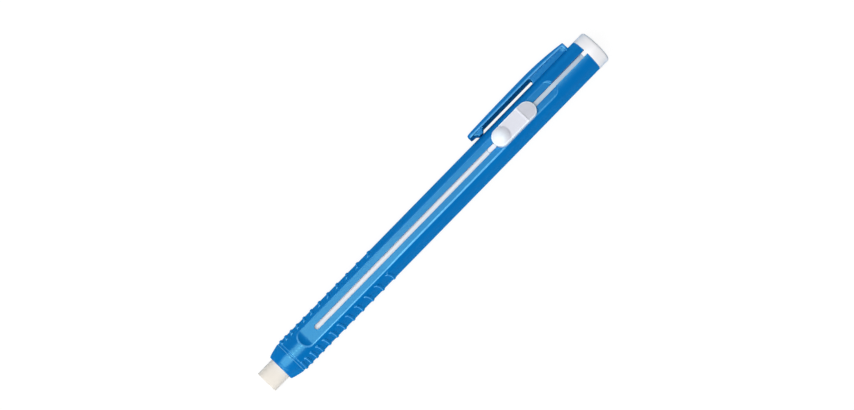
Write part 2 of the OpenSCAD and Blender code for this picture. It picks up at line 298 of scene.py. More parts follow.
def makeEdgeHighlight():
    # painted highlight on the marked edges, a little uneven
    group, inside, outside = startGroup(
        "edgeHighlight", [("Place", "NodeSocketVector", (0, 0, 0))], [("Mask", "NodeSocketFloat")])
    link = group.links.new
    edges = addNode(group, "ShaderNodeAttribute", (-450, 200), attribute_name="edgeWear")
    uneven = addNode(group, "ShaderNodeTexNoise", (-450, -100))
    setInputs(uneven, Scale=500.0, Detail=3.0, Roughness=0.6)
    spreadOut = addNode(group, "ShaderNodeMapRange", (-200, -100))
    setInputs(spreadOut, From_Min=0.35, From_Max=0.6, To_Min=0.75)
    both = addNode(group, "ShaderNodeMath", (50, 0), operation="MULTIPLY")
    link(inside.outputs["Place"], uneven.inputs["Vector"])
    link(uneven.outputs["Fac"], spreadOut.inputs["Value"])
    link(edges.outputs["Fac"], both.inputs[0])
    link(spreadOut.outputs["Result"], both.inputs[1])
    link(both.outputs[0], outside.inputs["Mask"])
    return group


groups = {"mouldGrain": makeMouldGrain(), "toneDrift": makeToneDrift(), "handMarks": makeHandMarks(),
          "edgeHighlight": makeEdgeHighlight()}


def placeGroup(tree, name, place, feed, **values):
    made = addNode(tree, "ShaderNodeGroup", place, node_tree=groups[name])
    tree.links.new(feed, made.inputs["Place"])
    setInputs(made, **values)
    return made


def moulding(name, finish):
    # one moulded or rubbery surface: toned colour, marked roughness and a grained bump
    material = bpy.data.materials.new(name)
    material.use_nodes = True
    tree = material.node_tree
    link = tree.links.new
    shader = tree.nodes["Principled BSDF"]
    setInputs(shader, **finish["shader"])
    feed = addNode(tree, "ShaderNodeTexCoord", (-1200, 0)).outputs["Object"]
    tone = placeGroup(tree, "toneDrift", (-800, 300), feed, Light_Tone=finish["light"],
                      Deep_Tone=finish["deep"])
    mark = placeGroup(tree, "handMarks", (-800, 0), feed, Amount=finish["marks"])
    grain = placeGroup(tree, "mouldGrain", (-800, -300), feed, Peel_Size=finish["peel"],
                       Tooth_Size=finish["tooth"], Tooth_Share=finish["toothShare"])
    roughMix = addNode(tree, "ShaderNodeMapRange", (-450, 0))
    setInputs(roughMix, To_Min=finish["rough"], To_Max=finish["roughMarked"])
    bumpNode = addNode(tree, "ShaderNodeBump", (-450, -300))
    setInputs(bumpNode, Strength=1.0, Distance=finish["bump"])
    link(tone.outputs["Color"], shader.inputs["Base Color"])
    # painted highlight: the marked edges are coloured towards the finish's edge colour
    if "edge" in finish:
        highlightPaint = placeGroup(tree, "edgeHighlight", (-800, 600), feed)
        highlightMix = addNode(tree, "ShaderNodeMix", (-450, 400), data_type="RGBA")
        highlightMix.inputs[7].default_value = finish["edge"]
        link(highlightPaint.outputs["Mask"], highlightMix.inputs[0])
        link(tone.outputs["Color"], highlightMix.inputs[6])
        link(highlightMix.outputs[2], shader.inputs["Base Color"])
    link(mark.outputs["Mask"], roughMix.inputs["Value"])
    link(roughMix.outputs["Result"], shader.inputs["Roughness"])
    link(grain.outputs["Height"], bumpNode.inputs["Height"])
    link(bumpNode.outputs["Normal"], shader.inputs["Normal"])
    return material


# Painted light on the eraser's length inside the barrel: its tone, and the places between which it takes
# over from the tip's tone
slotLight = {"tone": (0.86, 0.88, 0.9, 1), "start": 4 * mm, "end": 16 * mm}


def addSlotLight(material):
    # painted light: the length inside the barrel is coloured lighter and bluer than the working end, to make
    # up for the slot's shade and to stand for blue light from the slot walls
    tree = material.node_tree
    link = tree.links.new
    shader = tree.nodes["Principled BSDF"]
    highlightShareOrTipTone = shader.inputs["Base Color"].links[0].from_socket
    coords = addNode(tree, "ShaderNodeTexCoord", (-1200, 700))
    parts = addNode(tree, "ShaderNodeSeparateXYZ", (-900, 700))
    slotShare = addNode(tree, "ShaderNodeMapRange", (-650, 700))
    setInputs(slotShare, From_Min=slotLight["start"], From_Max=slotLight["end"])
    mix = addNode(tree, "ShaderNodeMix", (-350, 600), data_type="RGBA")
    mix.inputs[7].default_value = slotLight["tone"]
    link(coords.outputs["Object"], parts.inputs[0])
    link(parts.outputs["X"], slotShare.inputs["Value"])
    link(slotShare.outputs["Result"], mix.inputs[0])
    link(highlightShareOrTipTone, mix.inputs[6])
    link(mix.outputs[2], shader.inputs["Base Color"])


# Finishes: two tones that drift into each other, the colour of the painted edge highlight, roughness where
# the surface is clean and marked, the bump's height, the sizes of its grain in noise scale, and how marked
# it is
finishes = {
    "barrelPlastic": {
        # edge: painted highlight colour for the barrel's and clip's marked edges
        "light": (0.0, 0.157, 0.48, 1), "deep": (0.0, 0.142, 0.45, 1), "edge": (0.13, 0.48, 0.9, 1),
        "rough": 0.22, "roughMarked": 0.34, "bump": 0.004 * mm, "peel": 700.0, "tooth": 7000.0,
        "toothShare": 0.25, "marks": 0.4,
        "shader": {"IOR": 1.65, "Specular_Tint": (0.34, 0.97, 1.0, 1)}},
    "capPlastic": {
        "light": (0.83, 0.825, 0.845, 1), "deep": (0.79, 0.79, 0.815, 1),
        "rough": 0.34, "roughMarked": 0.5, "bump": 0.006 * mm, "peel": 800.0, "tooth": 8000.0,
        "toothShare": 0.4, "marks": 0.6, "shader": {"IOR": 1.46}},
    "buttonPlastic": {
        # edge: painted highlight colour for the button's rim and the nose side of its dome
        "light": (0.7, 0.71, 0.785, 1), "deep": (0.66, 0.67, 0.745, 1), "edge": (0.84, 0.93, 1.0, 1),
        "rough": 0.36, "roughMarked": 0.5, "bump": 0.008 * mm, "peel": 900.0, "tooth": 9000.0,
        "toothShare": 0.5, "marks": 0.6, "shader": {"IOR": 1.46}},
    # painted shade: the white carriage is coloured grey-blue for the slot's shade and the blue that its
    # walls reflect
    "carriagePaintedShade": {
        "light": (0.49, 0.59, 0.68, 1), "deep": (0.43, 0.53, 0.63, 1),
        "rough": 0.42, "roughMarked": 0.6, "bump": 0.008 * mm, "peel": 900.0, "tooth": 9000.0,
        "toothShare": 0.4, "marks": 0.6, "shader": {"IOR": 1.46}},
    "eraserVinyl": {
        "light": (0.79, 0.74, 0.67, 1), "deep": (0.745, 0.695, 0.625, 1),
        "rough": 0.7, "roughMarked": 0.85, "bump": 0.02 * mm, "peel": 1200.0, "tooth": 7000.0,
        "toothShare": 0.6, "marks": 0.6, "shader": {"IOR": 1.5, "Specular_IOR_Level": 0.3}},
}
materials = {name: moulding(name, finish) for name, finish in finishes.items()}
addSlotLight(materials["eraserVinyl"])
print("materials:", ", ".join(sorted(materials)))

# Barrel: one skin of rows along the stick and columns round it, then a second skin inside for the bore
barrelSizes = {
    "radius": 5.25 * mm,
    "boreRadius": 3.95 * mm,
    "noseBoreRadius": 3.5 * mm,
    "noseBoreLength": 12 * mm,
    "noseRadius": 4.3 * mm,
    "noseEdge": 0.45 * mm,
    "noseLength": 3.86 * mm,
    "taperGap": 0.15 * mm,     # from the end of the nose's taper to the ring
    "noseSwell": 0.8,          # below 1 the nose swells out a little between its ends
    "ringLength": 0.92 * mm,
    "ringStep": 0.04 * mm,
    "ringDepth": 0.065 * mm,
    "ringSlope": 0.16 * mm,    # half the length of each of the groove's sides
    "ringFrontShift": 0.32 * mm,   # from the ring's front to the middle of the groove's front side
    "ringBackShift": 0.02 * mm,    # from the grip's front to the middle of the groove's back side
    "gripLength": 35.7 * mm,
    "gripSink": 0.03 * mm,
    "gripSlope": 0.06 * mm,    # half the length of the step up behind the grip
    "ribCount": 12,
    "ribFirst": 0.48 * mm,
    "ribLast": 0.45 * mm,      # from the last rib to the grip's end
    "ribGap": 1.93 * mm,
    "ribWidth": 1.15 * mm,
    "ribCrest": 0.5 * mm,
    "ribRise": 0.24 * mm,
    "ribEndAngle": 43,         # degrees from the slot to the ends of the ribs
    "ribEndFade": 4,           # degrees over which a rib rises from its end
    "ribStraightAngle": 75,    # past this angle a rib runs straight round the back
    "ribSweep": 1.5 * mm,      # how far the end of the last rib sweeps towards the nose
    "ribSweepGrowth": 0.42,    # power by which the sweep grows from the first rib to the last
    "ribSweepRound": 0.985,    # how much of a quarter round the sweep follows
    "ribReleaseAngle": 34.5,   # degrees from the slot to where nothing is swept any more
    "sweepFadeStart": 0.6 * mm,    # the sweep fades between these distances behind the last rib
    "sweepFadeEnd": 4 * mm,
    "recessWidth": 5.66 * mm,
    "recessFront": 11.3 * mm,
    "recessBack": 14.95 * mm,
    "recessRunout": 2.5 * mm,
    "recessFrontRunout": 2.65 * mm,
    "recessRise": 0.13 * mm,       # the floor lies this much higher behind the grip
    "recessRiseAhead": 1 * mm,     # how far ahead of the grip's end the floor starts to rise
    "recessRiseLength": 8 * mm,
    "recessBackScoop": 0.55 * mm,  # radius of the short scoop at the recess's back end
    "recessRound": 0.13 * mm,
    "slotWidth": 1.5 * mm,
    "slotFront": 14.45 * mm,
    "slotRound": 0.08 * mm,
    "slotClosing": 2.4 * mm,   # length over which the rows ahead of the slot close up on its round end
    "slotColumns": 5,          # columns in half the slot's width
    "tailLength": 122.3 * mm,
    "tailRound": 0.12 * mm,
    "neckRadius": 4.63 * mm,
}
slotHalf = barrelSizes["slotWidth"] / 2
slotRoundX = noseX + barrelSizes["slotFront"] + slotHalf
tailX = noseX + barrelSizes["tailLength"]
ringX = noseX + barrelSizes["noseLength"]
gripX = ringX + barrelSizes["ringLength"]
gripEndX = gripX + barrelSizes["gripLength"]
recessHalf = barrelSizes["recessWidth"] / 2
recessX = noseX + barrelSizes["recessFront"]
recessEndX = tailX - barrelSizes["recessBack"]
recessZ = math.sqrt(barrelSizes["radius"] ** 2 - recessHalf ** 2)
recessSide = recessHalf + 0.6 * mm    # what lies farther out is clear of the recess
slotColumns = barrelSizes["slotColumns"]
nearSlotX = slotRoundX - barrelSizes["slotClosing"]


def ribPlaces():
    steps = barrelSizes["ribCount"] - 1
    span = barrelSizes["gripLength"] - barrelSizes["ribFirst"] - barrelSizes["ribLast"]
    widen = 2 * (span - steps * barrelSizes["ribGap"]) / (steps * (steps - 1))
    return [gripX + barrelSizes["ribFirst"] + i * barrelSizes["ribGap"] + widen * i * (i - 1) / 2
            for i in range(steps + 1)]


ribs = ribPlaces()


def bodyRadius(x):
    # radius of the plain body behind the nose, with the ring groove and two small steps up
    slope, gripSlope = barrelSizes["ringSlope"], barrelSizes["gripSlope"]
    frontX, backX = ringX + barrelSizes["ringFrontShift"], gripX + barrelSizes["ringBackShift"]
    depth, sink = barrelSizes["ringDepth"], barrelSizes["gripSink"]
    noseEnd = barrelSizes["radius"] - barrelSizes["ringStep"] - sink
    return (noseEnd - depth * smoothStep(frontX - slope, frontX + slope, x)
            + (depth + barrelSizes["ringStep"]) * smoothStep(backX - slope, backX + slope, x)
            + sink * smoothStep(gripEndX - gripSlope, gripEndX + gripSlope, x))


# Distances between the rows of the barrel's skin
rowSteps = {
    "taper": 0.35 * mm,
    "ring": 0.055 * mm,
    "gripEnd": 0.035 * mm,
    "rib": 0.095 * mm,
    "grip": 0.42 * mm,
    "frontScoop": 0.1 * mm,
    "slotFront": 0.2 * mm,
    "plain": 4 * mm,
    "backScoop": 0.065 * mm,
    "tail": 2.5 * mm,
    "tailEdge": 0.2 * mm,
    "least": 0.045 * mm,
}


def barrelRows():
    # (x, radius) of each row of the outer skin, from the nose's face to the end of the neck
    edge = barrelSizes["noseEdge"]
    noseRadius = barrelSizes["noseRadius"]
    rows = [(noseX + inset, noseRadius - drop) for inset, drop in quarterRound(edge, 6)]
    taperX, taperEndX = noseX + edge, ringX - barrelSizes["taperGap"]
    taperEndRadius = bodyRadius(taperEndX)
    for x in spread(taperX, taperEndX, rowSteps["taper"])[1:]:
        part = ((x - taperX) / (taperEndX - taperX)) ** barrelSizes["noseSwell"]
        rows.append((x, noseRadius + (taperEndRadius - noseRadius) * part))
    runout = barrelSizes["recessRunout"]
    ribReach = barrelSizes["ribWidth"] / 2 + 0.04 * mm
    scoopStartX, scoopEndX = recessEndX - 0.3 * mm, recessEndX + runout + 0.25 * mm
    tailEdgeX = tailX - barrelSizes["tailRound"] - rowSteps["tailEdge"]
    places = spread(taperEndX, gripX + 0.25 * mm, rowSteps["ring"])
    places += [gripEndX + k * rowSteps["gripEnd"] for k in range(-2, 3)]
    for ribX in ribs:
        places += spread(ribX - ribReach, ribX + ribReach + tiny, rowSteps["rib"])
    places += spread(taperEndX, gripEndX, rowSteps["grip"])
    places += spread(recessX - runout - 0.2 * mm, recessX + 0.2 * mm, rowSteps["frontScoop"])
    places += spread(nearSlotX, slotRoundX, rowSteps["slotFront"]) + [slotRoundX]
    places += spread(gripEndX + 0.5 * mm, scoopStartX, rowSteps["plain"])
    places += spread(scoopStartX, scoopEndX, rowSteps["backScoop"])
    places += spread(scoopEndX, tailEdgeX, rowSteps["tail"]) + [tailEdgeX]
    keep = [taperEndX]
    least = rowSteps["least"]
    for x in sorted(places):
        if x - keep[-1] > least and (x == slotRoundX or abs(x - slotRoundX) > least):
            keep.append(x)
    rows += [(x, bodyRadius(x)) for x in keep]
    rows += [(tailX - inset, barrelSizes["radius"] - drop)
             for drop, inset in quarterRound(barrelSizes["tailRound"], 3)]
    rows += [(tailX, barrelSizes["neckRadius"]), (neckEndX, barrelSizes["neckRadius"])]
    return rows


def barrelColumns():
    # columns on one side of the slot: ("across", y) up to the recess's edge, then ("round", part of the
    # rest), closest together where the slot's rim, the recess's edge and the ends of the ribs lie
    columns = [("across", slotHalf * math.sin(math.radians(90 / slotColumns * k)))
               for k in range(slotColumns + 1)]
    columns += [("across", slotHalf + gap * mm) for gap in (0.08, 0.2)]
    columns += [("across", y) for y in spread(slotHalf + 0.32 * mm, recessHalf - 0.3 * mm, 0.13 * mm)]
    columns += [("across", recessHalf - gap * mm) for gap in (0.3, 0.23, 0.17, 0.12, 0.07, 0.03)]
    edgeAngle = math.degrees(math.asin(recessHalf / barrelSizes["radius"]))
    angles = [edgeAngle + gap for gap in (0.25, 0.6, 1.0, 1.55, 2.2, 2.9)]
    for start, end, step in ((36.4, 41.5, 1.3), (41.5, 46.5, 0.7), (46.5, 76, 1.75), (76, 180, 4)):
        angles += spread(start, end, step)
    return columns + [("round", (angle - edgeAngle) / (180 - edgeAngle)) for angle in angles + [180]]


def columnPoint(column, side, radius):
    # y and z of a column on a circle of this radius
    kind, value = column
    if kind == "across":
        return side * value, math.sqrt(radius ** 2 - value ** 2)
    start = math.asin(recessHalf / radius)
    angle = start + (math.pi - start) * value
    return side * radius * math.sin(angle), radius * math.cos(angle)


def ribHeight(x, angle):
    # height of the ribs at a row and at an angle from the slot
    nearest = min(abs(x - ribX) for ribX in ribs)
    up = 1 - smoothStep(barrelSizes["ribCrest"] / 2, barrelSizes["ribWidth"] / 2, nearest)
    endAngle = barrelSizes["ribEndAngle"]
    risen = smoothStep(endAngle - 0.5, endAngle + barrelSizes["ribEndFade"], angle)
    return barrelSizes["ribRise"] * up * risen


def ribSweep(x, angle):
    # how far a row is drawn towards the nose near the ends of the ribs
    along = min(max((x - ribs[0]) / (ribs[-1] - ribs[0]), 0), 1)
    behind = x - ribs[-1]
    fadeOut = 1 - smoothStep(barrelSizes["sweepFadeStart"], barrelSizes["sweepFadeEnd"], behind)
    endAngle, straightAngle = barrelSizes["ribEndAngle"], barrelSizes["ribStraightAngle"]
    part = min(max((straightAngle - angle) / (straightAngle - endAngle), 0), 1)
    part *= barrelSizes["ribSweepRound"]
    bend = 1 - math.sqrt(1 - part * part)
    release = smoothStep(barrelSizes["ribReleaseAngle"], endAngle - 1, angle)
    return barrelSizes["ribSweep"] * along ** barrelSizes["ribSweepGrowth"] * fadeOut * bend * release


def scoopReach(radius, depth):
    # how far an arc of this radius runs while it climbs this depth
    return math.sqrt(max(2 * radius * depth - depth * depth, 0))


def recessFloor(x):
    startX = gripEndX - barrelSizes["recessRiseAhead"]
    risen = smoothStep(startX, startX + barrelSizes["recessRiseLength"], x)
    return recessZ + barrelSizes["recessRise"] * risen


def recessHeight(x, y):
    # height of the recess's floor, with a long scoop at its front end and a short one at its back end
    radius, floorZ = barrelSizes["radius"], recessFloor(x)
    longScoop = bowRadius(barrelSizes["recessRunout"], radius - recessZ)
    if x < recessX:
        scoop = bowRadius(barrelSizes["recessFrontRunout"], radius - recessZ)
        beyond = recessX - x
    else:
        scoop = barrelSizes["recessBackScoop"]
        depth = max(math.sqrt(radius ** 2 - min(abs(y), recessHalf) ** 2) - floorZ, 0)
        beyond = max(x - recessEndX - scoopReach(longScoop, depth) + scoopReach(scoop, depth), 0)
    if beyond >= scoop * 0.98:
        return 1.0    # far above the barrel: no recess here
    return floorZ + scoop - math.sqrt(scoop ** 2 - beyond ** 2)


def slotFrontX(y):
    # the slot's round front end
    return slotRoundX - math.sqrt(max(slotHalf ** 2 - y ** 2, 0))


# How much painted highlight the barrel's edges get, and between which places it changes
barrelHighlight = {
    "ringFront": 1,
    "ringBack": 0.5,
    "ribs": 0.8,
    "plain": 0.3,
    "recessClipSide": 0.7,
    "clipSideLoss": 0.85,      # lost farther round than the middle of the recess's clip side
    "clipSideFrom": 1.7 * mm,
    "clipSideTo": 2.7 * mm,
    "recessLowSide": 0.6,
    "lowSideGain": 0.25,       # gained behind the recess's front scoop
    "tailLoss": 0.75,          # lost from the low side towards the tail
    "tailFrom": 85 * mm,
    "tailTo": 100 * mm,
    "insideEdge": 0.08 * mm,   # the recess's painted edge highlight ends between these distances from it
    "outsideEdge": 0.1 * mm,
    "boreMargin": 0.2 * mm,    # no highlight is painted this close to the bore
    "slotMargin": 0.25 * mm,   # or this close to the slot's sides
    "slotAhead": 1.2 * mm,     # and ahead of its round end
    "recessReach": 3 * mm,     # how far beyond its ends the recess's own share still counts
    "ringFrontX": 0.1 * mm,    # the ring's share starts this far behind the ring's front
    "ringBackX": 0.4 * mm,     # and ends this far behind the grip's front
}


def recessHighlight(x, y):
    # painted highlight on the recess's own edge: its two sides and its two scoops
    highlightPaint = barrelHighlight
    inside = 1 - smoothStep(recessHalf - highlightPaint["insideEdge"], recessHalf + highlightPaint["outsideEdge"], abs(y))
    front = highlightPaint["recessLowSide"] + highlightPaint["lowSideGain"] * smoothStep(-0.5 * mm, 1.5 * mm, x - recessX)
    lowSide = front * (1 - highlightPaint["tailLoss"] * smoothStep(highlightPaint["tailFrom"], highlightPaint["tailTo"], x))
    clipSide = 1 - highlightPaint["clipSideLoss"] * smoothStep(highlightPaint["clipSideFrom"], highlightPaint["clipSideTo"], y)
    return clipSide * inside * (lowSide if y < 0 else highlightPaint["recessClipSide"])


def barrelEdgeShare(vert):
    x, y, z = vert.co
    highlightPaint = barrelHighlight
    if math.hypot(y, z) < barrelSizes["boreRadius"] + highlightPaint["boreMargin"] or x > tailX - tiny:
        return 0
    if abs(y) < slotHalf + highlightPaint["slotMargin"] and z > 0 and x > slotRoundX - highlightPaint["slotAhead"]:
        return 0
    reach = highlightPaint["recessReach"]
    if abs(y) < recessSide and z > 0 and recessX - reach < x < recessEndX + reach:
        return recessHighlight(x, y)
    if x < ringX + highlightPaint["ringFrontX"]:
        return 0
    if x < gripX + highlightPaint["ringBackX"]:
        return highlightPaint["ringFront"] if x < (ringX + gripX) / 2 else highlightPaint["ringBack"]
    if x < gripEndX:
        # painted highlight only on the rib flanks that face the nose, where the light comes from
        return highlightPaint["ribs"] * smoothStep(-0.1, 0.3, -vert.normal.x)
    return highlightPaint["plain"]


def makeBarrel():
    rows = barrelRows()
    oneSide = barrelColumns()
    columns = [(-1, column) for column in reversed(oneSide[1:])] + [(1, column) for column in oneSide]
    bm = bmesh.new()
    rowTag = bm.verts.layers.int.new("row")
    columnTag = bm.verts.layers.int.new("column")
    bmesh.ops.create_grid(bm, x_segments=len(rows) - 1, y_segments=len(columns) - 1, size=1)
    for vert in bm.verts:
        vert[rowTag] = round((vert.co.x + 1) / 2 * (len(rows) - 1))
        vert[columnTag] = round((vert.co.y + 1) / 2 * (len(columns) - 1))
    slotRow = min(range(len(rows)), key=lambda k: abs(rows[k][0] - slotRoundX))

    def rowX(x, column):
        # rows just ahead of the slot close up on its round end
        if column[0] == "across" and column[1] < slotHalf and nearSlotX < x <= slotRoundX + tiny:
            part = (x - nearSlotX) / (slotRoundX - nearSlotX)
            return nearSlotX + part * (slotFrontX(column[1]) - nearSlotX)
        return x

    for vert in bm.verts:
        x, radius = rows[vert[rowTag]]
        side, column = columns[vert[columnTag]]
        y, z = columnPoint(column, side, radius)
        angle = abs(math.degrees(math.atan2(y, z)))
        rise = ribHeight(x, angle)
        if rise > 0:
            y, z = columnPoint(column, side, radius + rise)
        placeX = rowX(x - ribSweep(x, angle), column)
        if abs(y) < recessSide and z > 0:
            z = softMin(z, recessHeight(placeX, y), barrelSizes["recessRound"])
        vert.co = (placeX, y, z)
    centre = len(columns) // 2

    def inSlotWidth(verts):
        return all(abs(vert[columnTag] - centre) <= slotColumns for vert in verts)

    inSlot = [face for face in bm.faces
              if min(vert[rowTag] for vert in face.verts) >= slotRow and inSlotWidth(face.verts)]
    bmesh.ops.delete(bm, geom=inSlot, context="FACES")
    bmesh.ops.remove_doubles(bm, verts=bm.verts, dist=tiny)

    # the same skin again for the bore
    skin = bmesh.ops.extrude_face_region(bm, geom=list(bm.faces), use_keep_orig=True)["geom"]
    inner, innerFaces = onlyKind(skin, bmesh.types.BMVert), onlyKind(skin, bmesh.types.BMFace)
    boreX = noseX + barrelSizes["noseBoreLength"]
    for vert in inner:
        x = rows[vert[rowTag]][0]
        side, column = columns[vert[columnTag]]
        radius = barrelSizes["noseBoreRadius"] if x < boreX else barrelSizes["boreRadius"]
        y, z = columnPoint(column, side, radius)
        vert.co = (rowX(x, column), y, z)
    innerSet = set(innerFaces)
    rims = [edge for edge in bm.edges
            if len(edge.link_faces) == 2 and not any(face in innerSet for face in edge.link_faces)
            and bendsOver(edge, 60) and inSlotWidth(edge.verts)
            and all(rows[vert[rowTag]][0] >= nearSlotX and vert.co.z > barrelSizes["boreRadius"]
                    and vert.co.x < tailX - barrelSizes["tailRound"]
                    and (abs(abs(vert.co.y) - slotHalf) < tiny or vert.co.x < slotRoundX)
                    for vert in edge.verts)]
    roundEdges(bm, rims, barrelSizes["slotRound"], 2)
    innerFaces = [face for face in innerFaces if face.is_valid]
    innerEdges = {edge for face in innerFaces for edge in face.edges}
    innerVerts = {vert for face in innerFaces for vert in face.verts}
    bmesh.ops.dissolve_limit(bm, angle_limit=math.radians(0.3), use_dissolve_boundaries=False,
                             verts=list(innerVerts), edges=list(innerEdges), delimit=set())
    piece = makePiece(bm, "barrel_shell", "barrel_body", materials["barrelPlastic"],
                      32, barrelEdgeShare)
    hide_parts("barrel")


makeBarrel()

# Clip: a bowed plate on a web, with a foot near its free end; it bends just ahead of the web
clipSizes = {
    "backGap": 2.4 * mm,         # from the clip's back end to the end cap
    "width": 5.2 * mm,
    "innerY": 6.75 * mm,
    "innerEndY": 6.3 * mm,
    "tipThickness": 1.1 * mm,
    "crestThickness": 1.45 * mm,
    "crestBack": 15 * mm,        # from the highest point to the back end
    "crestDrop": 1.2 * mm,
    "webLength": 14.1 * mm,
    "webWidth": 3.6 * mm,
    "wallThickness": 0.9 * mm,
    "rootY": 4.3 * mm,
    "cornerRadius": 1.3 * mm,
    "footFront": 1.35 * mm,
    "footLength": 3.6 * mm,
    "footEndLength": 1.35 * mm,
    "footReach": [1, 0.82, 0.67, 0.54, 0.44],    # its length on the way down, as a share
    "footGap": 0.15 * mm,
    "innerDraft": 0.23 * mm,     # how much thicker the plate is along its lower edge
    "sideDraft": 0.2 * mm,       # how much the plate's upper side leans in over the draft's height
    "draftHeight": 1.4 * mm,
    "edgeBand": 0.62 * mm,       # from the inner face to a line along the plate's sides
    "innerEdgeRound": 0.5 * mm,  # at most: the narrow faces beside an edge keep its round smaller
    "edgeRound": 0.33 * mm,
    "endRound": 0.45 * mm,
    "stationGap": 2.2 * mm,      # between cross-sections of the free length
    "fineLength": 2.2 * mm,      # ahead of the web, where the clip bends
    "fineGap": 0.3 * mm,         # between cross-sections there
    "webGap": 1.2 * mm,          # between cross-sections of the web
    "throatDepth": 0.45 * mm,    # from the web's front to the second cross-section that the gap rounds
    "gapSteps": 8,               # steps in which the web is drawn down
    "gapBow": 0.75,              # depth of the gap's round end, as a share of half its height
    "gapSink": 0.25 * mm,        # how far below the barrel's surface the gap's last step lies
}
clipEndX = tailX - clipSizes["backGap"]
crestX = clipEndX - clipSizes["crestBack"]
webX = clipEndX - clipSizes["webLength"]
throatX = webX + clipSizes["throatDepth"]
wallX = clipEndX - clipSizes["wallThickness"]


def clipOuterY(x):
    # two arcs that meet level at the clip's highest point
    thickness = clipSizes["crestThickness"]
    if x < crestX:
        radius = bowRadius(crestX - clipTipX, thickness - clipSizes["tipThickness"])
    else:
        radius = bowRadius(clipSizes["crestBack"], clipSizes["crestDrop"])
    return clipSizes["innerY"] + thickness - radius + math.sqrt(radius ** 2 - (x - crestX) ** 2)


def clipInnerY(x):
    # the inner face is level up to the web and then falls towards the back
    part = min(max((x - webX) / (wallX - webX), 0), 1)
    return clipSizes["innerY"] + (clipSizes["innerEndY"] - clipSizes["innerY"]) * part ** 1.6


def clipDraft(z):
    # the plate is a little thicker towards its lower edge
    return clipSizes["innerDraft"] * (0.5 - z / clipSizes["width"])


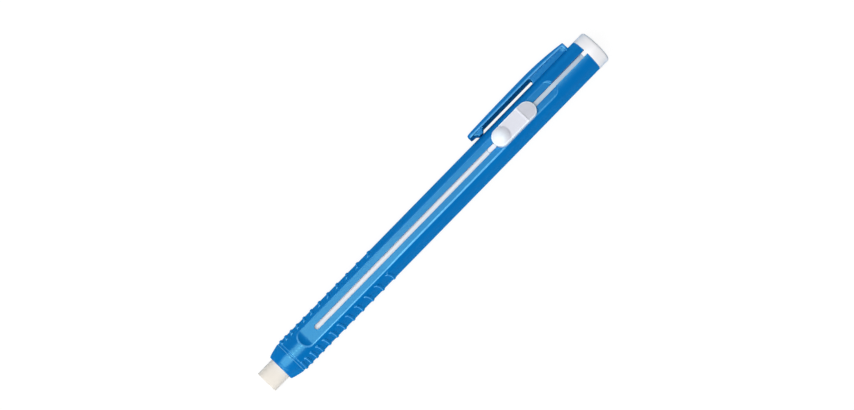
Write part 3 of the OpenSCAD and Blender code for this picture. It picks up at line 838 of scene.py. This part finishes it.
def makeClip():
    half, webHalf = clipSizes["width"] / 2, clipSizes["webWidth"] / 2
    corner = clipSizes["cornerRadius"]
    footX = clipTipX + clipSizes["footFront"]
    footEndX = footX + clipSizes["footLength"]
    stations = [clipTipX + corner * (1 - math.cos(math.radians(15 * k))) for k in range(7)]
    stations += [footX] + [footX + clipSizes["footLength"] * part for part in (0.25, 0.5, 0.75)]
    fineX = webX - clipSizes["fineLength"]
    stations += spread(footEndX, fineX, clipSizes["stationGap"])
    stations += spread(fineX, webX, clipSizes["fineGap"]) + [webX, throatX]
    stations += spread(webX + clipSizes["webGap"], wallX, clipSizes["webGap"]) + [wallX, clipEndX]
    across = [-half, -half + 0.4 * mm, -webHalf, -1.2 * mm, -0.5 * mm]
    across += [0] + [-z for z in reversed(across)]
    bm = bmesh.new()
    columnCount = len(across) - 1
    bmesh.ops.create_grid(bm, x_segments=len(stations) - 1, y_segments=columnCount, size=1)
    stationTag = bm.verts.layers.int.new("station")
    acrossTag = bm.verts.layers.int.new("across")
    for vert in bm.verts:
        vert[stationTag] = round((vert.co.x + 1) / 2 * (len(stations) - 1))
        vert[acrossTag] = round((vert.co.y + 1) / 2 * columnCount)
        x, z = stations[vert[stationTag]], across[vert[acrossTag]]
        if x < clipTipX + corner:
            z *= (half - corner + math.sqrt(max(corner ** 2 - (clipTipX + corner - x) ** 2, 0))) / half
        vert.co = (x, clipInnerY(x) - clipDraft(z), z)
    plate = list(bm.faces)
    top = plate
    for outer in (False, True):
        if outer:
            top, raised = drawFaces(bm, top)
        else:
            kept = bmesh.ops.extrude_face_region(bm, geom=plate, use_keep_orig=True)["geom"]
            top, raised = onlyKind(kept, bmesh.types.BMFace), onlyKind(kept, bmesh.types.BMVert)
        for vert in raised:
            startY = vert.co.y
            vert.co.y = clipOuterY(vert.co.x) if outer else startY + clipSizes["edgeBand"]
            if vert.co.z > 0:
                lean = clipSizes["sideDraft"] * (vert.co.y - startY) / clipSizes["draftHeight"]
                vert.co.z -= vert.co.z / half * lean

    def onPlate(face, low, high, reach):
        middle = face.calc_center_median()
        return low < middle.x < high and abs(middle.z) < reach

    # web and back wall, drawn down in steps so that the gap ends in a round
    webFaces = [face for face in plate
                if onPlate(face, webX, wallX, webHalf) or onPlate(face, wallX, clipEndX, half)]
    gapTop, gapFoot, gapSteps = clipSizes["innerY"], barrelSizes["radius"], clipSizes["gapSteps"]
    gapHalf = (gapTop - gapFoot) / 2
    for k in range(1, gapSteps + 1):
        last = k == gapSteps
        level = gapFoot - clipSizes["gapSink"] if last else gapTop - 2 * gapHalf * k / gapSteps
        webFaces, drawn = drawFaces(bm, webFaces)
        away = min(abs(level - gapTop + gapHalf) / gapHalf, 1)
        back = clipSizes["gapBow"] * gapHalf * math.sqrt(1 - away ** 2)
        for vert in drawn:
            stationX = stations[vert[stationTag]]
            topY = clipInnerY(stationX) - clipDraft(vert.co.z)
            part = (gapTop - level) / (gapTop - gapFoot)
            vert.co.y = level if last else topY + (gapFoot - topY) * part
            if abs(stationX - webX) < tiny:
                vert.co.x = webX + back
            if abs(stationX - throatX) < tiny:
                vert.co.x = throatX + 0.6 * back
    webFaces, drawn = drawFaces(bm, webFaces)
    for vert in drawn:
        vert.co.y = clipSizes["rootY"]

    # foot: a tooth with hollow flanks
    footFaces = [face for face in plate if face.is_valid and onPlate(face, footX, footEndX, webHalf)]
    footBottom = barrelSizes["radius"] + clipSizes["footGap"]
    middleX = (footX + footEndX) / 2
    reach = clipSizes["footReach"] + [clipSizes["footEndLength"] / clipSizes["footLength"]]
    for k in range(1, len(reach)):
        footFaces, drawn = drawFaces(bm, footFaces)
        for vert in drawn:
            topY = clipSizes["innerY"] - clipDraft(vert.co.z)
            vert.co.y = topY + (footBottom - topY) * k / (len(reach) - 1)
            vert.co.x = middleX + (stations[vert[stationTag]] - middleX) * reach[k]

    # edges: a wider round at the back end's outer corner, then the inner face's edges, then the rest
    outerBack = [edge for edge in bm.edges if bendsOver(edge, 40)
                 and all(vert.co.x > clipEndX - tiny and vert.co.y > clipInnerY(clipEndX) + 0.1 * mm
                         for vert in edge.verts)
                 and abs(edge.verts[0].co.z - edge.verts[1].co.z) > tiny]
    roundEdges(bm, outerBack, clipSizes["endRound"], 4)

    def onInnerEdge(vert):
        return (abs(vert.co.y - clipInnerY(vert.co.x) + clipDraft(vert.co.z)) < tiny
                and abs(vert.co.z) > webHalf + tiny and vert.co.x < wallX + tiny)

    def onWallEdge(vert):
        return abs(vert.co.x - wallX) < tiny and abs(vert.co.z) > half - tiny

    innerEdges = [edge for edge in bm.edges if edge.is_manifold and bendsOver(edge, 60)
                  and (all(onInnerEdge(vert) for vert in edge.verts)
                       or all(onWallEdge(vert) for vert in edge.verts))]
    roundEdges(bm, innerEdges, clipSizes["innerEdgeRound"], 5)
    bmesh.ops.recalc_face_normals(bm, faces=bm.faces)
    corners = [edge for edge in bm.edges if edge.is_manifold and bendsOver(edge, 32)
               and max(vert.co.y for vert in edge.verts) > gapFoot - 0.2 * mm]
    roundEdges(bm, corners, clipSizes["edgeRound"], 3)

    def clipEdgeShare(vert):
        # painted highlight: strongest along the two long inner edges and the wall's front edges
        x, y, z = vert.co
        band = 0.8 * clipSizes["innerEdgeRound"]
        if abs(z) < half - clipSizes["innerEdgeRound"] or y < gapFoot + 0.2 * mm:
            return 0
        outwards = y - clipInnerY(x) + clipDraft(z)
        alongPlate = 0.01 * mm < outwards < band
        alongWall = 0.01 * mm < x - wallX < band and outwards < band
        return 1 if alongPlate or alongWall else 0.1

    piece = makePiece(bm, "pocket_clip", None, materials["barrelPlastic"], 50,
                      clipEdgeShare)
    piece.modifiers.new("evenNormals", "WEIGHTED_NORMAL").keep_sharp = True
    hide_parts("clip_arm")
    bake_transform(piece, "barrel_body", "clip", start=(webX, 0, 0), end=(webX - 2 * mm, 0, 0))


makeClip()

# End cap: a cup over the barrel's neck, with a tongue in the slot's open end
capSizes = {
    "radius": 5.25 * mm,
    "rimRound": 0.8 * mm,
    "frontRound": 0.08 * mm,
    "socketRadius": 4.65 * mm,
    "socketDepth": 2.8 * mm,
    "tongueWidth": 1.3 * mm,
    "tongueBottom": 4.0 * mm,
    "tongueTop": 5.08 * mm,
    "tongueRound": 0.08 * mm,
    "steps": 96,
}


def spinProfile(bm, points, steps):
    # a closed profile of (x, radius) points turned about the barrel's axis
    verts = [bm.verts.new((x, 0, radius)) for x, radius in points]
    edges = [bm.edges.new(pair) for pair in zip(verts, verts[1:])]
    bmesh.ops.spin(bm, geom=verts + edges, cent=(0, 0, 0), axis=(1, 0, 0), angle=math.tau, steps=steps,
                   use_merge=True)
    bmesh.ops.remove_doubles(bm, verts=bm.verts, dist=tiny)


def makeCap():
    radius = capSizes["radius"]
    bm = bmesh.new()
    rimRound = quarterRound(capSizes["rimRound"], 10)
    front = [(tailX + inset, radius - drop) for inset, drop in quarterRound(capSizes["frontRound"], 3)]
    rim = [(capEndX - inset, radius - drop) for inset, drop in reversed(rimRound)]
    socketEndX = tailX + capSizes["socketDepth"]
    socket = capSizes["socketRadius"]
    points = [(socketEndX, 0), (socketEndX, socket), (tailX, socket)]
    points += front + rim + [(capEndX, radius * 0.5), (capEndX, 0)]
    spinProfile(bm, points, capSizes["steps"])
    box = bmesh.ops.create_cube(bm, size=1)["verts"]
    low = Vector((tongueX, -capSizes["tongueWidth"] / 2, capSizes["tongueBottom"]))
    high = Vector((socketEndX + 0.1 * mm, capSizes["tongueWidth"] / 2, capSizes["tongueTop"]))
    for vert in box:
        vert.co = [low[k] if vert.co[k] < 0 else high[k] for k in range(3)]
    boxEdges = list({edge for vert in box for edge in vert.link_edges})
    roundEdges(bm, boxEdges, capSizes["tongueRound"], 2, clamp=False)
    piece = makePiece(bm, "end_cap_cup", "barrel_body", materials["capPlastic"], 35)
    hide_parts("end_cap")


makeCap()

# Thumb button: a stadium with a dome, a panel, a cross bar and a sloping pad, on a stem in the slot
buttonSizes = {
    "frontGap": 2.68 * mm,     # from the stem's front to the button's front
    "width": 5.33 * mm,
    "bottomZ": 4.572 * mm,
    "panelZ": 7.0 * mm,
    "rimRound": 0.3 * mm,
    "rimSteps": 6,
    "domeRise": 1.0 * mm,
    "domeRadius": 2.85 * mm,
    "domeShift": 0.15 * mm,    # how far behind the round front end's middle the dome stands
    "domeBlend": 0.04 * mm,    # how strongly a highlight is painted on the dome
    "domeHighlight": 0.75,            # how far the thumb has rubbed the dome light
    "domeHighlightShift": 0.7 * mm,   # from the dome's middle to the middle of the painted highlight, towards the nose
    "domeHighlightStart": 0.3,        # the painted highlight fades between these parts of the dome's radius
    "domeHighlightEnd": 1.15,
    "barRise": 0.25 * mm,
    "barWidth": 0.75 * mm,
    "barBack": 4.1 * mm,
    "padDrop": 1.3 * mm,
    "rimBand": 1.4 * mm,       # below the panel, what still counts as the button's rim for its painted highlight
    "draft": 0.04 * mm,        # how much wider the button is at its foot
    "footRound": 0.15 * mm,
    "ringGap": 0.1 * mm,
    "roundSteps": 96,
    "lengthSteps": 80,
    "neckWidth": 1.1 * mm,
    "keyWidth": 1.3 * mm,
    "keySetback": 0.15 * mm,   # room for the slot's front end when the button is right forward
    "keyTop": 4.42 * mm,
    "keyBottom": 3.95 * mm,
}
buttonX = keyX + buttonSizes["frontGap"]
domeX = buttonX + buttonSizes["width"] / 2 + buttonSizes["domeShift"]


def softMax(a, b, blendWidth):
    return -softMin(-a, -b, blendWidth)


def buttonTop(x, y):
    # height of the button's top at a point
    panel = buttonSizes["panelZ"]
    barEndX = buttonEndX - buttonSizes["barBack"]
    rise = buttonSizes["domeRise"]
    ball = bowRadius(buttonSizes["domeRadius"], rise)
    away = math.hypot(x - domeX, y)
    dome = panel + rise - ball + math.sqrt(max(ball ** 2 - away ** 2, 0))
    pad = panel - buttonSizes["padDrop"] * max(x - barEndX, 0) / buttonSizes["barBack"]
    top = softMax(pad, dome, buttonSizes["domeBlend"])
    reach = buttonSizes["barWidth"] / 2
    bump = 1 - smoothStep(0.2 * reach, reach, abs(x - barEndX + reach))
    return top + buttonSizes["barRise"] * bump


def drawRing(bm, ring):
    # a copy of a ring of edges, joined to it by faces
    drawn = bmesh.ops.extrude_edge_only(bm, edges=ring)["geom"]
    verts = set(onlyKind(drawn, bmesh.types.BMVert))
    return verts, [edge for edge in onlyKind(drawn, bmesh.types.BMEdge) if set(edge.verts) <= verts]


def makeButton():
    half = buttonSizes["width"] / 2
    frontX, backX = buttonX + half, buttonEndX - half
    bm = bmesh.new()
    layers = bm.verts.layers.float
    alongTag, outXTag, outYTag = (layers.new(name) for name in ("along", "outX", "outY"))
    domeHighlightTag = layers.new("edgeWear")
    steps = buttonSizes["roundSteps"]
    halfStep = Matrix.Rotation(math.pi / steps, 4, "Z")
    bmesh.ops.create_circle(bm, segments=steps, radius=half, matrix=halfStep)
    for vert in bm.verts:
        vert.co.x += frontX if vert.co.x < 0 else backX
    longEdges = [edge for edge in bm.edges if edge.calc_length() > half]
    bmesh.ops.subdivide_edges(bm, edges=longEdges, cuts=buttonSizes["lengthSteps"])
    for vert in bm.verts:
        coreX = min(max(vert.co.x, frontX), backX)
        vert[alongTag] = (coreX - frontX) / (backX - frontX)
        vert[outXTag], vert[outYTag] = (vert.co - Vector((coreX, 0, 0))).normalized().xy

    def placeRing(verts, startX, endX, radius, height):
        # a stadium of this radius between two places on the axis, at a height or on a height field
        for vert in verts:
            x = startX + (endX - startX) * vert[alongTag] + radius * vert[outXTag]
            y = radius * vert[outYTag]
            vert.co = (x, y, height(x, y) if callable(height) else height)

    outline = list(bm.edges)
    rimRound = buttonSizes["rimRound"]
    placeRing(bm.verts, frontX, backX, half, lambda x, y: buttonTop(x, y) - rimRound)
    ring = outline
    for inset, drop in quarterRound(rimRound, buttonSizes["rimSteps"])[1:]:
        verts, ring = drawRing(bm, ring)
        placeRing(verts, frontX, backX, half - inset, lambda x, y: buttonTop(x, y) - drop)
    for radius in reversed(spread(0, half - rimRound, buttonSizes["ringGap"])):
        verts, ring = drawRing(bm, ring)
        placeRing(verts, frontX, backX, radius, buttonTop)

    def onRim(place):
        coreX = min(max(place.x, frontX), backX)
        return math.hypot(place.x - coreX, place.y) > half - rimRound - tiny

    # a highlight is painted on the dome, strongest on the side towards the nose
    fadeStart = buttonSizes["domeHighlightStart"] * buttonSizes["domeRadius"]
    fadeEnd = buttonSizes["domeHighlightEnd"] * buttonSizes["domeRadius"]
    for vert in bm.verts:
        away = math.hypot(vert.co.x - domeX + buttonSizes["domeHighlightShift"], vert.co.y)
        vert[domeHighlightTag] = buttonSizes["domeHighlight"] * (1 - smoothStep(fadeStart, fadeEnd, away))

    # side wall, then the neck under the button and the wider key that runs in the slot
    neckHalf, keyHalf = buttonSizes["neckWidth"] / 2, buttonSizes["keyWidth"] / 2
    footRound, footHalf = buttonSizes["footRound"], half + buttonSizes["draft"]
    bottomZ, keyTop, keyBottom = (buttonSizes[key] for key in ("bottomZ", "keyTop", "keyBottom"))
    keyFrontX = keyX + buttonSizes["keySetback"] + keyHalf
    keyBackX = buttonEndX - keyHalf
    down = [(frontX, backX, footHalf - footRound * 0.3, bottomZ + footRound),
            (frontX, backX, footHalf - footRound, bottomZ), (frontX, backX, neckHalf, bottomZ),
            (frontX, backX, neckHalf, keyTop), (keyFrontX, keyBackX, keyHalf, keyTop),
            (keyFrontX, keyBackX, keyHalf, keyBottom)]
    ring = outline
    for startX, endX, radius, height in down:
        verts, ring = drawRing(bm, ring)
        placeRing(verts, startX, endX, radius, height)
    bmesh.ops.edgeloop_fill(bm, edges=ring)

    # painted highlight: the button's rim is marked to be coloured lighter
    def rimHighlightShare(vert):
        return 1 if vert.co.z > buttonSizes["panelZ"] - buttonSizes["rimBand"] and onRim(vert.co) else 0

    piece = makePiece(bm, "thumb_piece", "slider", materials["buttonPlastic"], 40,
                      rimHighlightShare)
    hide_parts("thumb_button")


makeButton()

# Eraser: a round stick of soft vinyl
eraserSizes = {"radius": 3.4 * mm, "edgeRound": 0.14 * mm, "steps": 96, "ringGap": 3 * mm}


def makeEraser():
    radius, edge = eraserSizes["radius"], eraserSizes["edgeRound"]
    corner = quarterRound(edge, 4)
    front = [(inset, radius - drop) for inset, drop in corner]
    back = [(eraserEndX - inset, radius - drop) for inset, drop in reversed(corner)]
    bm = bmesh.new()
    points = [(0, 0), (0, radius * 0.5)] + front
    points += [(x, radius) for x in spread(edge, eraserEndX - edge, eraserSizes["ringGap"])[1:]]
    points += back + [(eraserEndX, radius * 0.5), (eraserEndX, 0)]
    spinProfile(bm, points, eraserSizes["steps"])
    piece = makePiece(bm, "eraser_refill", "eraser", materials["eraserVinyl"], 50)
    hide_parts("eraser_stick")


makeEraser()

# Carriage: its CAD solid has the right shape and keeps it
carriage = frame["nodes"]["eraser_carriage"]
# painted shade: its material colours the white carriage grey-blue for the shade and reflected blue in the
# slot
carriage.data.materials.clear()
carriage.data.materials.append(materials["carriagePaintedShade"])

# Floor, at the lowest point of the stick
floorSizes = {
    "reach": 2.5,
    "bounced": (0.66, 0.72, 0.76, 1),    # what the floor throws back onto the stick
    "seen": (0.95, 0.95, 0.95, 1),       # its lit colour to the camera
    "mirrored": (0.02, 0.36, 0.75, 1),   # painted reflection: a deep blue that the floor shows only to glossy rays, for glossy plastic to mirror
    "seenWhite": 0.88,                   # share of plain white in what the camera sees
    "whiteStrength": 1.03,
}


def makeFloor():
    material = bpy.data.materials.new("floorWhite")
    material.use_nodes = True
    tree = material.node_tree
    link = tree.links.new
    shader = tree.nodes["Principled BSDF"]
    setInputs(shader, Roughness=0.9, Specular_IOR_Level=0.2)
    paper = addNode(tree, "ShaderNodeMix", (-250, -50), data_type="RGBA")
    paper.inputs[6].default_value = floorSizes["bounced"]
    paper.inputs[7].default_value = floorSizes["seen"]
    # painted reflection: glossy rays see the floor in the deep blue instead of its lit colour
    paintedReflection = addNode(tree, "ShaderNodeMix", (-50, -50), data_type="RGBA")
    paintedReflection.inputs[7].default_value = floorSizes["mirrored"]
    glow = addNode(tree, "ShaderNodeEmission", (0, -300))
    setInputs(glow, Color=(1, 1, 1, 1), Strength=floorSizes["whiteStrength"])
    path = addNode(tree, "ShaderNodeLightPath", (-700, 200))
    seenShare = addNode(tree, "ShaderNodeMath", (-250, 300), operation="MULTIPLY")
    seenShare.inputs[1].default_value = floorSizes["seenWhite"]
    mix = addNode(tree, "ShaderNodeMixShader", (300, 0))
    link(path.outputs["Is Camera Ray"], paper.inputs[0])
    link(path.outputs["Is Glossy Ray"], paintedReflection.inputs[0])
    link(paper.outputs[2], paintedReflection.inputs[6])
    link(paintedReflection.outputs[2], shader.inputs["Base Color"])
    link(path.outputs["Is Camera Ray"], seenShare.inputs[0])
    link(seenShare.outputs[0], mix.inputs[0])
    link(shader.outputs[0], mix.inputs[1])
    link(glow.outputs[0], mix.inputs[2])
    link(mix.outputs[0], tree.nodes["Material Output"].inputs["Surface"])
    bm = bmesh.new()
    bmesh.ops.create_grid(bm, x_segments=4, y_segments=4, size=floorSizes["reach"])
    bmesh.ops.translate(bm, verts=bm.verts, vec=(0, 0, cadBox[0][2]))
    mesh = bpy.data.meshes.new("floor")
    bm.to_mesh(mesh)
    bm.free()
    mesh.materials.append(material)
    floor = bpy.data.objects.new("floor", mesh)
    bpy.context.scene.collection.objects.link(floor)


makeFloor()

# Light: a wide soft box and a strip overhead, a low box beyond the nose and weak ones low on either side
lampSizes = {
    "overhead": {"place": (-0.346, 0.311, 1.25), "size": (1.12, 1.38), "power": 18.5, "mirrored": True},
    "overheadStrip": {"place": (0.08, 0.32, 1.28), "size": (0.85, 0.12), "power": 2.2, "mirrored": True},
    "noseSide": {"place": (-1.15, -0.35, 0.42), "size": (1.5, 0.55), "power": 7.0, "mirrored": True},
    "clipSide": {"place": (0.1, 1.2, 0.42), "size": (1.6, 0.9), "power": 1.5, "mirrored": False},
    "lowSide": {"place": (0.1, -1.2, 0.22), "size": (1.8, 0.5), "power": 5.5, "mirrored": False},
}
lampAim = Vector((0.06, 0, 0))    # the middle of the stick, which every lamp faces
skyStrength = {"onStick": 0.07, "seen": 1.0}


def makeLamps():
    for name, lamp in lampSizes.items():
        light = bpy.data.lights.new(name, "AREA")
        light.shape = "RECTANGLE"
        light.size, light.size_y = lamp["size"]
        light.energy = lamp["power"]
        holder = bpy.data.objects.new(name, light)
        holder.visible_glossy = lamp["mirrored"]
        place = Vector(lamp["place"])
        back = (place - lampAim).normalized()
        side = (Vector((1, 0, 0)) - back * back.x).normalized()
        turn = Matrix((side, back.cross(side), back)).transposed()
        holder.matrix_world = Matrix.Translation(place) @ turn.to_4x4()
        bpy.context.scene.collection.objects.link(holder)
    world = bpy.data.worlds.new("studio")
    bpy.context.scene.world = world
    world.use_nodes = True
    tree = world.node_tree
    sky = tree.nodes["Background"]
    setInputs(sky, Color=(1, 1, 1, 1))
    path = addNode(tree, "ShaderNodeLightPath", (-500, 0))
    brightness = addNode(tree, "ShaderNodeMapRange", (-250, 0))
    setInputs(brightness, To_Min=skyStrength["onStick"], To_Max=skyStrength["seen"])
    tree.links.new(path.outputs["Is Camera Ray"], brightness.inputs["Value"])
    tree.links.new(brightness.outputs["Result"], sky.inputs["Strength"])


makeLamps()

# Camera: angles of the stick as the picture shows it
cameraSizes = {
    "slotLean": 10.6,           # degrees that the slot's side leans towards the clip
    "tailAway": 3.4,            # degrees that the tail lies farther away
    "pictureTurn": 45.6,        # degrees that the stick runs up to the right
    "distance": 1.05,
    "pictureWidth": 238.35 * mm,  # width of the view at the stick
    "centreX": 66.59 * mm,
    "centreAcross": 2.63 * mm,
    "sensor": 36,
}


def makeCamera():
    lean, away, turned = (math.radians(cameraSizes[key])
                          for key in ("slotLean", "tailAway", "pictureTurn"))
    flat = layTurn.to_3x3() @ Vector((0, -math.sin(lean), math.cos(lean)))
    back = (flat * math.cos(away) - Vector((1, 0, 0)) * math.sin(away)).normalized()
    along = (Vector((1, 0, 0)) - back * back.x).normalized()
    across = back.cross(along)
    right = along * math.cos(turned) - across * math.sin(turned)
    up = along * math.sin(turned) + across * math.cos(turned)
    target = Vector((cameraSizes["centreX"], 0, 0)) + across * cameraSizes["centreAcross"]
    camera = bpy.data.cameras.new("camera")
    camera.sensor_width = cameraSizes["sensor"]
    camera.lens = cameraSizes["sensor"] * cameraSizes["distance"] / cameraSizes["pictureWidth"]
    camera.clip_start, camera.clip_end = 0.05, 20
    holder = bpy.data.objects.new("camera", camera)
    turn = Matrix((right, up, back)).transposed()
    holder.matrix_world = Matrix.Translation(target + back * cameraSizes["distance"]) @ turn.to_4x4()
    bpy.context.scene.collection.objects.link(holder)
    bpy.context.scene.camera = holder


makeCamera()
bpy.context.scene.view_settings.view_transform = "Standard"
